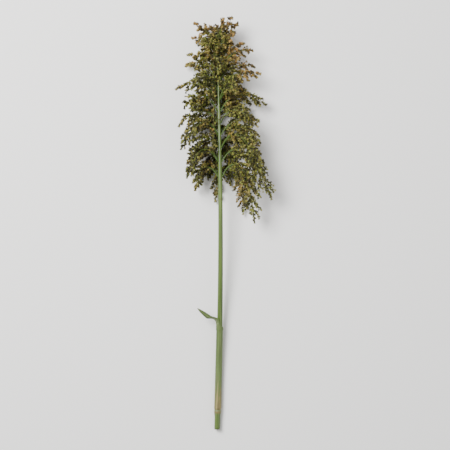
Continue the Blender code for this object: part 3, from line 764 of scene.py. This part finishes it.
def makeStem():
    joint, reach = stem["jointAt"], stem["jointReach"]
    marks = [*np.arange(0.0, stemEnd, stem["ringStep"]), stemEnd]
    marks = sorted([*marks, *np.linspace(joint - reach, joint + reach, stem["jointRings"])])
    cut = stemPoint(0.0)
    sunk = cut + np.array((0, stem["pithDepth"], 0))
    rings = [(sunk, stem["cut"] - inset, share, 0.0) for inset, share in stem["pithRings"]]
    rings.append((cut, stem["cut"] - stem["rimInset"], 1.0, 0.0))
    rings += [(stemPoint(d), stemRadius(d) * (1.0 if d > 0 else stem["rimRadius"]), 0.0, d) for d in marks]
    sides = stem["sides"]
    points, faces, slots, wax, band, rim, unbent = [], [], [], [], [], [], []
    for centre, radius, isRim, d in rings:
        points += [centre + shift + onCircle(radius, 2 * math.pi * k / sides) for k in range(sides)]
        unbent += [onCircle(stem["cut"], 2 * math.pi * k / sides) + (0, d, 0) for k in range(sides)]
        wax += [math.exp(-(((d - joint - stem["waxAt"]) / stem["waxHalf"]) ** 2))] * sides
        band += [math.exp(-(((d - joint) / stem["bandHalf"]) ** 2))] * sides
        rim += [isRim] * sides
    for i in range(len(rings) - 1):
        for k in range(sides):
            a, b = i * sides + k, i * sides + (k + 1) % sides
            faces.append((a, a + sides, b + sides, b))
            slots.append(1 if i < len(stem["pithRings"]) else 0)
    points.append(cut + shift + np.array((0, stem["pithHollow"], 0)))
    points.append(stemPoint(stemEnd) + shift + np.array((0, stem["endCap"], 0)))
    last = (len(rings) - 1) * sides
    for k in range(sides):
        after = (k + 1) % sides
        faces += [(k, after, len(points) - 2), (last + after, last + k, len(points) - 1)]
        slots += [1, 0]
    values = {"wax": [*wax, 0.0, 0.0], "band": [*band, 0.0, 0.0], "rim": [*rim, 0.0, 0.0]}
    piece = newObject("culm_fine", points, faces, [makeRind(), makePith()], slots, values)
    # places on a straight stem, so its streaks follow it
    unbent += [np.zeros(3), np.array((0, stemEnd, 0))]
    piece.data.attributes.new("unbent", "FLOAT_VECTOR", "POINT").data.foreach_set("vector", np.ravel(unbent))
    piece.data.shade_smooth()
    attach(piece, "root")
    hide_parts("culm")


makeStem()
print("stem made")

# The leaf: its sheath round the stem, a short collar, and the trimmed blade that twists away
leaf = {
    "start": 0.037, "end": 0.172, "gap": 0.0005, "thick": 0.0007, "wrap": math.radians(328),
    # the foot closes onto the joint that the sheath grows from
    "foot": 0.0034, "footRows": 6, "footSunk": 0.0003,
    "back": math.radians(140), "collar": 0.012, "narrowing": 0.55, "blade": 0.046, "width": 0.0095,
    "lean": math.radians(52), "leanOver": 2.2, "rise": 0.35, "pointing": 3.2, "pointHalf": 0.0006,
    "twist": math.radians(42), "twistOver": 2.0, "trough": 0.22, "collarPower": 1.5,
    "wave": 0.00035, "waves": 9 * math.pi, "waveShift": 1.3,
    "columns": 56, "sheathRows": 60, "collarRows": 10, "bladeRows": 28,
    # how dry it is: the sheath is fresh from 1 / dryUntil of its length up
    "dryFoot": 0.52, "dryLow": 0.62, "dryHigh": 0.02, "dryUntil": 1.6,
    "dryBlade": 0.05, "dryTip": 0.95, "tipFrom": 0.9, "midribCollar": 0.6, "midribTip": 0.25,
    "dryUneven": 1.5, "veinShare": 0.22,
    "stainFrom": (0.7, 0.2),  # what drying adds to the stains, and how far they show on fresh tissue
    "veins": 150.0,  # radians across the leaf, so a vein about every 1.3 mm of sheath
    "streaks": (14.0, 14.0),  # cells across the leaf, and per metre along it: 2.4 mm wide, 70 mm long
    "stains": (5.0, 30.0),  # 7 mm wide, 33 mm long
    "midrib": 0.035,
    "green": ((0.30, "#1f3a0c"), (0.50, "#3a5519"), (0.70, "#607836")),
    "straw": ((0.30, "#5a4524"), (0.50, "#84703f"), (0.70, "#a08c58")),
    "purple": ((0.30, "#24100b"), (0.60, "#452418"), (0.80, "#6a4a2c")),
    "vein": "#b4b884", "midribPale": "#a3b070",
}


def makeLeafTissue():
    # ribbed leaf tissue: satin green with pale veins, drying to straw and purple-brown down the sheath
    material, tree, surface = newMaterial("leafTissue", 0.48)
    over = addNode(tree, "ShaderNodeAttribute", attribute_name="over").outputs["Fac"]
    dry = addNode(tree, "ShaderNodeAttribute", attribute_name="dry").outputs["Fac"]
    along = addNode(tree, "ShaderNodeAttribute", attribute_name="along").outputs["Fac"]
    midrib = addNode(tree, "ShaderNodeAttribute", attribute_name="midrib").outputs["Fac"]
    spread = addNode(tree, "ShaderNodeCombineXYZ", {0: over, 1: along})
    veins = addNode(tree, "ShaderNodeMath", {0: over, 1: leaf["veins"]}, operation="MULTIPLY")
    veins = addNode(tree, "ShaderNodeMath", {0: veins}, operation="SINE")
    veins = addNode(tree, "ShaderNodeMapRange", {"Value": veins, "From Min": -1.0})
    streaks = addNode(tree, "ShaderNodeMapping", {"Vector": spread, "Scale": (*leaf["streaks"], 1.0)})
    streaks = addNode(tree, "ShaderNodeTexNoise",
                      {"Vector": streaks, "Scale": 1.0, "Detail": 4.0, "Roughness": 0.6})
    stains = addNode(tree, "ShaderNodeMapping", {"Vector": spread, "Scale": (*leaf["stains"], 1.0)})
    stains = addNode(tree, "ShaderNodeTexNoise", {"Vector": stains, "Scale": 1.0, "Detail": 3.0})
    green = addNode(tree, "ShaderNodeValToRGB", {0: streaks}, leaf["green"])
    straw = addNode(tree, "ShaderNodeValToRGB", {0: streaks}, leaf["straw"])
    purple = addNode(tree, "ShaderNodeValToRGB", {0: streaks}, leaf["purple"])
    uneven = addNode(tree, "ShaderNodeMath", {0: streaks, 1: leaf["dryUneven"], 2: dry},
                     operation="MULTIPLY_ADD")
    dried = addNode(tree, "ShaderNodeMapRange", {"Value": uneven, "From Min": 1.1, "From Max": 1.4})
    colour = addNode(tree, "ShaderNodeMix", {0: dried, 6: green, 7: straw}, data_type="RGBA").outputs[2]
    stained = addNode(tree, "ShaderNodeMapRange", {"Value": stains, "From Min": 0.5, "From Max": 0.64})
    dryingAdds, onFresh = leaf["stainFrom"]
    reach = addNode(tree, "ShaderNodeMath", {0: dried, 1: dryingAdds, 2: onFresh}, operation="MULTIPLY_ADD")
    stained = addNode(tree, "ShaderNodeMath", {0: stained, 1: reach}, operation="MULTIPLY")
    colour = addNode(tree, "ShaderNodeMix", {0: stained, 6: colour, 7: purple}, data_type="RGBA").outputs[2]
    ribbed = addNode(tree, "ShaderNodeMath", {0: veins, 1: leaf["veinShare"]}, operation="MULTIPLY")
    for share, label in ((ribbed, "vein"), (midrib, "midribPale")):
        colour = addNode(tree, "ShaderNodeMix", {0: share, 6: colour, 7: linear(leaf[label])},
                         data_type="RGBA").outputs[2]
    tree.links.new(colour, surface.inputs["Base Color"])
    bump = addNode(tree, "ShaderNodeBump", {"Height": veins, "Strength": 0.5, "Distance": 0.00012})
    tree.links.new(bump.outputs[0], surface.inputs["Normal"])
    return material


def sheathRow(d, wrap):
    clear = smooth((d - leaf["start"]) / leaf["foot"] + 1)
    off = (leaf["gap"] + leaf["thick"] / 2 + leaf["footSunk"]) * clear
    radius = stemRadius(min(d, leaf["end"])) + off - leaf["footSunk"]
    angles = [leaf["back"] + wrap * (k / leaf["columns"] - 0.5) for k in range(leaf["columns"] + 1)]
    return [stemPoint(d) + onCircle(radius, angle) for angle in angles]


def turnedAbout(axis, angle, direction):
    swung = math.cos(angle) * direction + math.sin(angle) * np.cross(axis, direction)
    return swung + (1 - math.cos(angle)) * np.dot(axis, direction) * axis


def bladeRow(v):
    back = np.array((math.cos(leaf["back"]), 0, math.sin(leaf["back"])))
    start = leaf["end"] + leaf["collar"]
    forward = stemPoint(start + leaf["collar"]) - stemPoint(start)
    forward /= np.linalg.norm(forward)
    base = stemPoint(start) + back * (stemRadius(start) + leaf["gap"] + leaf["thick"] / 2)
    out = np.array((back[0], 0, leaf["rise"] * back[2]))
    out /= np.linalg.norm(out)
    lean = leaf["lean"] * smooth(leaf["leanOver"] * v)
    along = math.cos(lean) * forward + math.sin(lean) * out
    along /= np.linalg.norm(along)
    twist = leaf["twist"] * smooth(leaf["twistOver"] * v)
    side = turnedAbout(along, twist, np.cross(np.array((0, 1, 0)), back))
    back = turnedAbout(along, twist, back)
    half = leaf["width"] / 2 * (1 - v ** leaf["pointing"]) + leaf["pointHalf"] * v
    row = []
    for k in range(leaf["columns"] + 1):
        t = 2 * k / leaf["columns"] - 1
        ripple = leaf["wave"] * v * t * t * math.sin(leaf["waves"] * v + leaf["waveShift"] * t)
        sunk = leaf["trough"] * half * t * t + ripple
        row.append(base + leaf["blade"] * v * along - side * half * t - back * sunk)
    return row


def offStem(point):
    centre = stemPoint(point[1])
    away = point - centre
    least = stemRadius(leaf["end"]) + 2 * leaf["gap"] + leaf["thick"] / 2
    return centre + away * max(1.0, least / np.linalg.norm(away))


def makeLeaf():
    rows, dry, far, opened = [], [], [], []
    for t in np.linspace(-1, 0, leaf["footRows"] + 1)[:-1]:
        rows.append(sheathRow(leaf["start"] + leaf["foot"] * t, leaf["wrap"]))
        dry.append(leaf["dryLow"] + (leaf["dryLow"] - leaf["dryFoot"]) * t)
        far.append(leaf["foot"] * t)
        opened.append(0.0)
    for t in np.linspace(0, 1, leaf["sheathRows"] + 1):
        rows.append(sheathRow(leaf["start"] + (leaf["end"] - leaf["start"]) * t, leaf["wrap"]))
        dry.append(leaf["dryLow"] - (leaf["dryLow"] - leaf["dryHigh"]) * smooth(t * leaf["dryUntil"]))
        far.append((leaf["end"] - leaf["start"]) * t)
        opened.append(0.0)
    for t in np.linspace(0, 1, leaf["collarRows"] + 1)[1:-1]:
        wrap = leaf["wrap"] * (1 - leaf["narrowing"] * smooth(t))
        wrapped = sheathRow(leaf["end"] + leaf["collar"] * t, wrap)
        share = smooth(t) ** leaf["collarPower"]
        rows.append([offStem(w + (b - w) * share) for w, b in zip(wrapped, bladeRow(0.0))])
        dry.append(leaf["dryBlade"])
        far.append(leaf["end"] - leaf["start"] + leaf["collar"] * t)
        opened.append(leaf["midribCollar"] * share)
    for v in np.linspace(0, 1, leaf["bladeRows"] + 1):
        rows.append(bladeRow(v))
        atTip = smooth((v - leaf["tipFrom"]) / (1 - leaf["tipFrom"]))
        dry.append(leaf["dryBlade"] + (leaf["dryTip"] - leaf["dryBlade"]) * atTip)
        far.append(leaf["end"] - leaf["start"] + leaf["collar"] + leaf["blade"] * v)
        opened.append(leaf["midribCollar"] + (leaf["midribTip"] - leaf["midribCollar"]) * v)
    columns = leaf["columns"] + 1
    faces = []
    for i in range(len(rows) - 1):
        for a in range(i * columns, i * columns + columns - 1):
            faces.append((a, a + 1, a + 1 + columns, a + columns))
    acrossIt = [k / (columns - 1) for k in range(columns)]
    ridge = [math.exp(-(((x - 0.5) / leaf["midrib"]) ** 2)) for x in acrossIt]
    values = {
        "over": acrossIt * len(rows),
        "along": [value for value in far for _ in acrossIt],
        "dry": [value for value in dry for _ in acrossIt],
        "midrib": [value * height for value in opened for height in ridge],
    }
    points = [p + shift for row in rows for p in row]
    piece = newObject("leaf_fine", points, faces, [makeLeafTissue()], None, values)
    wall = piece.modifiers.new("wall", "SOLIDIFY")
    wall.thickness = leaf["thick"]
    wall.offset = 0.0
    piece.data.shade_smooth()
    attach(piece, "root")
    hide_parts("leaf")


makeLeaf()
print("leaf made")

# Floor, light and camera: soft light from the upper left, seen from straight above with the head up
studio = {
    "floor": "#fbfaf8", "size": 16.0, "sky": 0.42, "lampAim": (0, 0.1, 0),  # sizes and places in metres
    # each lamp's name, place, watts and side
    "lamps": (("keyLight", (-1.1, 0.9, 1.9), 112.0, 1.2), ("fillLight", (1.5, -0.4, 1.6), 12.0, 1.8)),
}
view = {"width": 0.775, "distance": 2.2, "height": 0.03, "sensor": 36.0}


def makeStage():
    material, _, surface = newMaterial("paperBackdrop", 0.9)
    surface.inputs["Base Color"].default_value = linear(studio["floor"])
    half = studio["size"] / 2
    corners = [(-half, -half, 0), (half, -half, 0), (half, half, 0), (-half, half, 0)]
    newObject("floor", corners, [(0, 1, 2, 3)], [material])
    world = bpy.context.scene.world or bpy.data.worlds.new("studio")
    bpy.context.scene.world = world
    world.use_nodes = True
    sky = world.node_tree.nodes["Background"]
    sky.inputs["Color"].default_value = (1, 1, 1, 1)
    sky.inputs["Strength"].default_value = studio["sky"]
    for label, spot, energy, size in studio["lamps"]:
        lamp = bpy.data.lights.new(label, "AREA")
        lamp.energy = energy
        lamp.size = size
        holder = bpy.data.objects.new(label, lamp)
        holder.location = spot
        holder.rotation_euler = (Vector(studio["lampAim"]) - Vector(spot)).to_track_quat("-Z", "Y").to_euler()
        bpy.context.scene.collection.objects.link(holder)


def makeCamera():
    camera = bpy.data.cameras.new("camera")
    camera.sensor_width = view["sensor"]
    camera.lens = view["sensor"] * view["distance"] / view["width"]
    holder = bpy.data.objects.new("camera", camera)
    holder.location = (0.0, 0.0, view["distance"] + view["height"])
    bpy.context.scene.collection.objects.link(holder)
    bpy.context.scene.camera = holder


makeStage()
makeCamera()
print("stage and camera set")
